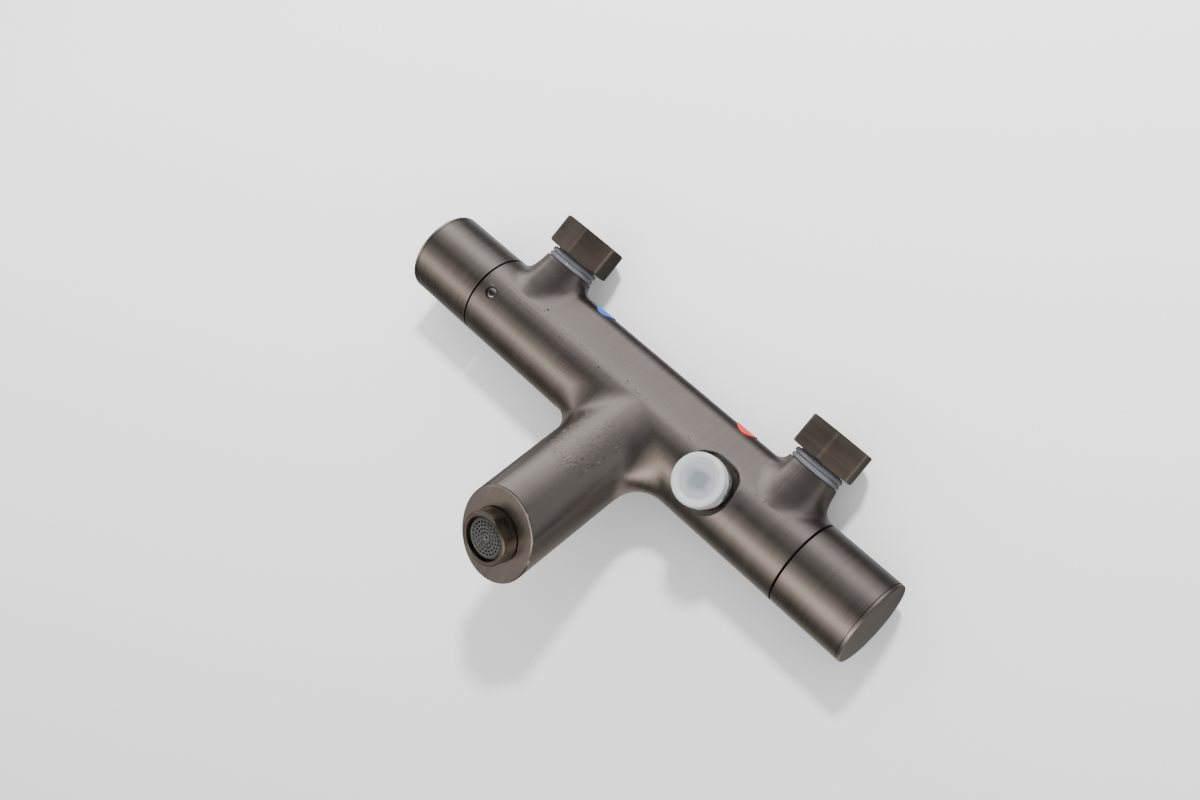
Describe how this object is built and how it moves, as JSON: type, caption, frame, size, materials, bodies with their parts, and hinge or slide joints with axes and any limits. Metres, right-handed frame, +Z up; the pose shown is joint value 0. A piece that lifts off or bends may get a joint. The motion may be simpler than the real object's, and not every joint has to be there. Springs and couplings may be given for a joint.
{
  "type": "thermostatic bath mixer",
  "caption": "Wall-mounted bar thermostatic bath mixer in brushed gunmetal with a round spout, two end knobs, hexagonal union nuts and a capped shower outlet.",
  "frame": {"origin": "on the bar's axis, midway between the two inlet axes", "axes": "+X along the bar to the cold side, +Y from the bar to the wall along the inlets, +Z up as installed; the spout leans forward and down from -Y"},
  "size_m": [0.2668, 0.1422, 0.0745],
  "materials": {
    "gunmetal": "brushed dark gunmetal coating",
    "nut_gunmetal": "satin dark gunmetal coating",
    "bright_metal": "bright machined",
    "brass": "machined, unplated",
    "dark_polymer": "moulded, matt",
    "grey_polymer": "moulded, satin",
    "pale_polymer": "milky, slightly translucent",
    "rubber": "soft, matt",
    "spring_steel": "drawn wire",
    "ceramic": "lapped ceramic",
    "badge_blue": "gloss enamel",
    "badge_red": "gloss enamel"
  },
  "bodies": {
    "mixer": {"mixer_body": "gunmetal", "set_screw": "bright_metal", "thermo_housing": "dark_polymer", "return_spring": "spring_steel", "stop_ring": "grey_polymer", "flow_housing": "dark_polymer", "flow_retainer": "brass", "fixed_disc": "ceramic", "mixing_tube": "grey_polymer", "outlet_nipple": "nut_gunmetal", "outlet_valve": "grey_polymer", "aerator_housing": "nut_gunmetal", "aerator_insert": "grey_polymer", "aerator_washer": "rubber", "badge_cold": "badge_blue", "badge_hot": "badge_red", "thermo_o_ring_1": "rubber", "thermo_o_ring_2": "rubber", "thermo_o_ring_3": "rubber", "flow_o_ring_1": "rubber", "flow_o_ring_2": "rubber", "inlet_tube_cold": "brass", "screen_cold": "rubber", "check_valve_cold": "pale_polymer", "seal_ring_cold": "grey_polymer", "inlet_tube_hot": "brass", "screen_hot": "rubber", "check_valve_hot": "pale_polymer", "seal_ring_hot": "grey_polymer"},
    "temperature": {"temperature_knob": "gunmetal", "temperature_cap": "gunmetal", "temperature_screw": "bright_metal", "thermo_spindle": "brass", "button_spring": "spring_steel"},
    "button": {"safety_button": "gunmetal"},
    "thermo_element": {"wax_element": "brass", "shuttle": "pale_polymer"},
    "flow": {"flow_knob": "gunmetal", "flow_cap": "gunmetal", "flow_screw": "bright_metal", "flow_spindle": "brass", "moving_disc": "ceramic"},
    "nut_cold": {"union_nut_cold": "nut_gunmetal"},
    "nut_hot": {"union_nut_hot": "nut_gunmetal"},
    "cap": {"outlet_cover": "pale_polymer"}
  },
  "joints": [
    {"name": "temperature_turn", "type": "hinge", "parent": "mixer", "child": "temperature", "pos_m": [0, 0, 0], "axis": [1, 0, 0], "range_deg": [-130, 35]},
    {"name": "button_press", "type": "slide", "parent": "temperature", "child": "button", "axis": [0, 0, -1], "range_m": [0, 0.0018], "stiffness_N_per_m": 600, "springref_m": -0.002, "deforming": ["button_spring"]},
    {"name": "element_travel", "type": "slide", "parent": "mixer", "child": "thermo_element", "axis": [1, 0, 0], "range_m": [-0.00064, 0.000209]},
    {"name": "flow_turn", "type": "hinge", "parent": "mixer", "child": "flow", "pos_m": [0, 0, 0], "axis": [1, 0, 0], "range_deg": [-90, 90]},
    {"name": "nut_cold_turn", "type": "hinge", "parent": "mixer", "child": "nut_cold", "pos_m": [0.075, 0.044, 0], "axis": [0, 1, 0], "continuous": true},
    {"name": "nut_hot_turn", "type": "hinge", "parent": "mixer", "child": "nut_hot", "pos_m": [-0.075, 0.044, 0], "axis": [0, 1, 0], "continuous": true},
    {"name": "cap_pull", "type": "slide", "parent": "mixer", "child": "cap", "axis": [0, 0, -1], "range_m": [0, 0.02]}
  ],
  "couplings": [
    {"joint": "element_travel", "follows": "temperature_turn", "m_per_rad": 0.00026}
  ]
}
